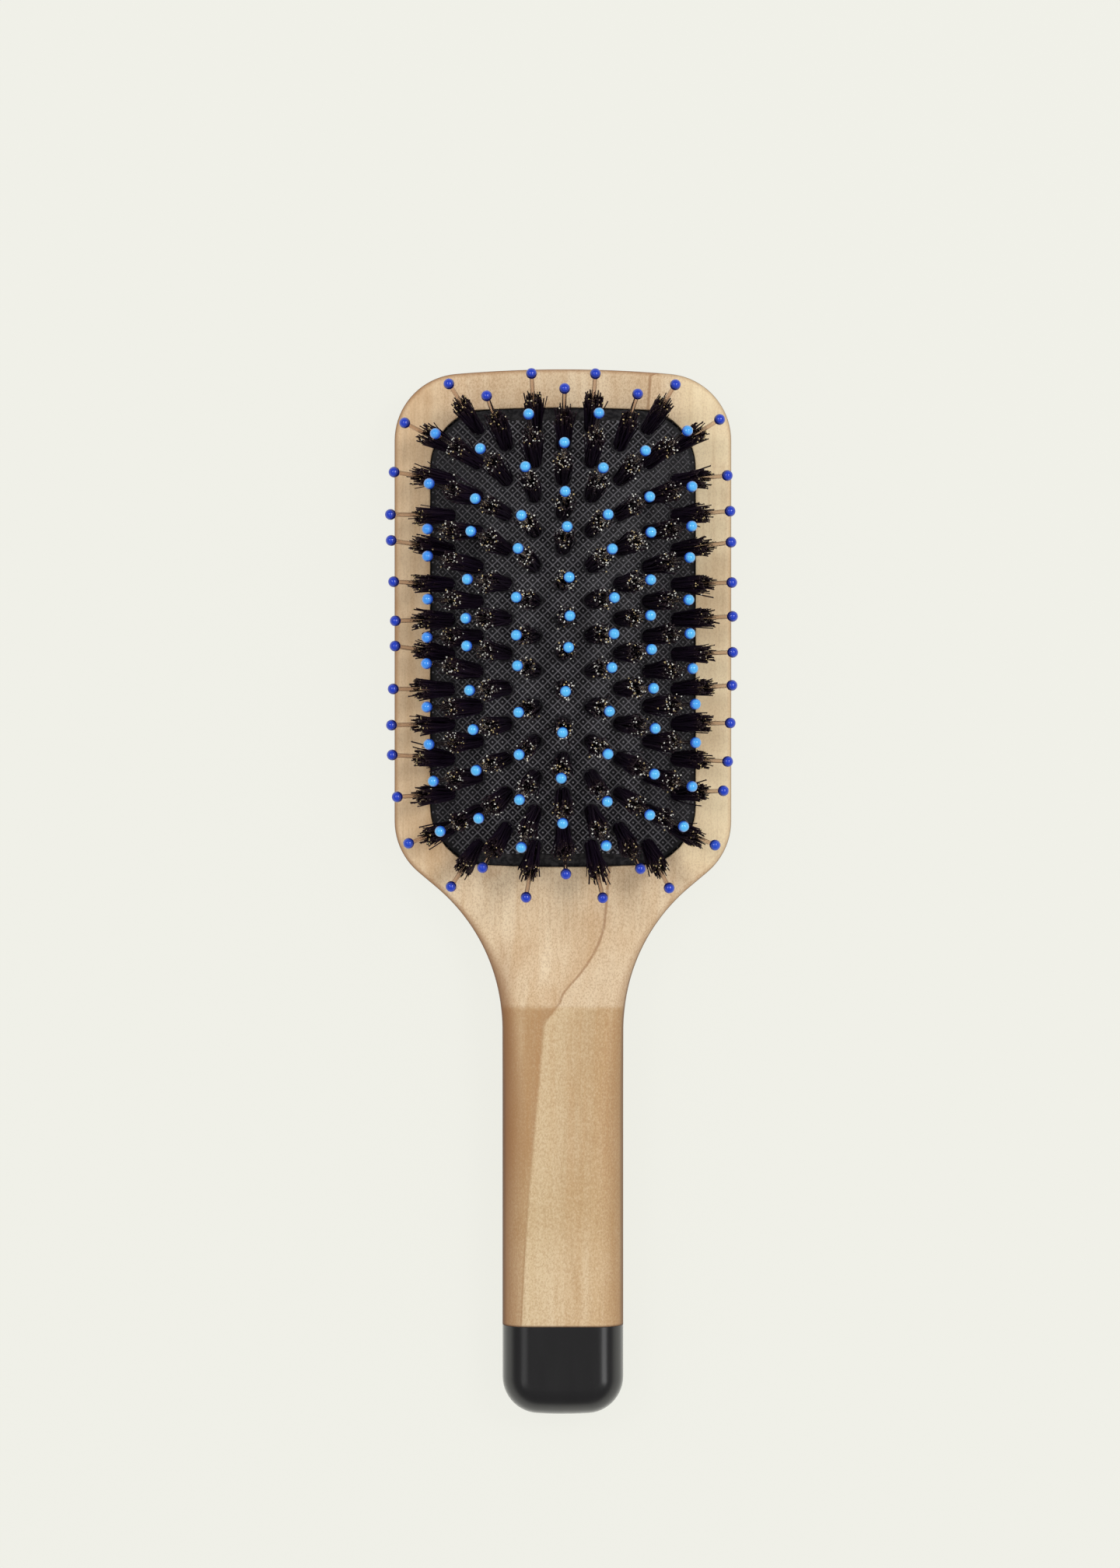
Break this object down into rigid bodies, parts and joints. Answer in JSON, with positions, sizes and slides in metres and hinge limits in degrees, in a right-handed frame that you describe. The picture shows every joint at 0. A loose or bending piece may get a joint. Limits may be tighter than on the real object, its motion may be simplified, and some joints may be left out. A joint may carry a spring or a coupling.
{
  "type": "vanity hairbrush",
  "caption": "Rectangular cushioned paddle hairbrush: domed rubber pad set with fanned bristle tufts and ball-tipped quills, and a straight wooden handle with a dipped end.",
  "frame": {"origin": "on the flat back of the paddle, straight behind the middle of the cushion", "axes": "+Z out of the bristle side, so the brush lies on its back on z = 0; +Y along the handle towards the head; +X to the right with the head up and the bristles towards the viewer"},
  "size_m": [0.0724, 0.2189, 0.0427],
  "materials": {
    "beech": "clear satin lacquer over pale beech",
    "lacquer": "satin black dipped coat",
    "rubber": "matt, moulded with a diamond grid of fine ribs",
    "bristle": "dark natural bristle with pale cut ends",
    "nylon": "clear nylon",
    "tip_blue": "glossy blue bead",
    "wire": "drawn wire"
  },
  "bodies": {
    "wooden_body": {"paddle_handle": "beech", "lacquer_dip": "lacquer", "cushion_rubber": "rubber"},
    "core_ring": {"tufts_core": "bristle", "quills_core": "nylon", "tips_core": "tip_blue", "staples_core": "wire"},
    "inner_ring": {"tufts_inner": "bristle", "quills_inner": "nylon", "tips_inner": "tip_blue", "staples_inner": "wire"},
    "middle_ring": {"tufts_middle": "bristle", "quills_middle": "nylon", "tips_middle": "tip_blue", "staples_middle": "wire"},
    "outer_ring": {"tufts_outer": "bristle", "quills_outer": "nylon", "tips_outer": "tip_blue", "staples_outer": "wire"},
    "rim_ring": {"tufts_rim": "bristle", "quills_rim": "nylon", "tips_rim": "tip_blue", "staples_rim": "wire"}
  },
  "joints": [
    {"name": "cushion_press", "type": "slide", "parent": "wooden_body", "child": "core_ring", "axis": [0, 0, -1], "range_m": [0, 0.004], "stiffness_N_per_m": 1500, "deforming": ["cushion_rubber"]},
    {"name": "inner_press", "type": "slide", "parent": "wooden_body", "child": "inner_ring", "axis": [0, 0, -1], "range_m": [0, 0.00372]},
    {"name": "middle_press", "type": "slide", "parent": "wooden_body", "child": "middle_ring", "axis": [0, 0, -1], "range_m": [0, 0.00312]},
    {"name": "outer_press", "type": "slide", "parent": "wooden_body", "child": "outer_ring", "axis": [0, 0, -1], "range_m": [0, 0.00212]},
    {"name": "rim_press", "type": "slide", "parent": "wooden_body", "child": "rim_ring", "axis": [0, 0, -1], "range_m": [0, 0.00096]}
  ],
  "couplings": [
    {"joint": "inner_press", "follows": "cushion_press", "ratio": 0.93},
    {"joint": "middle_press", "follows": "cushion_press", "ratio": 0.78},
    {"joint": "outer_press", "follows": "cushion_press", "ratio": 0.53},
    {"joint": "rim_press", "follows": "cushion_press", "ratio": 0.24}
  ]
}
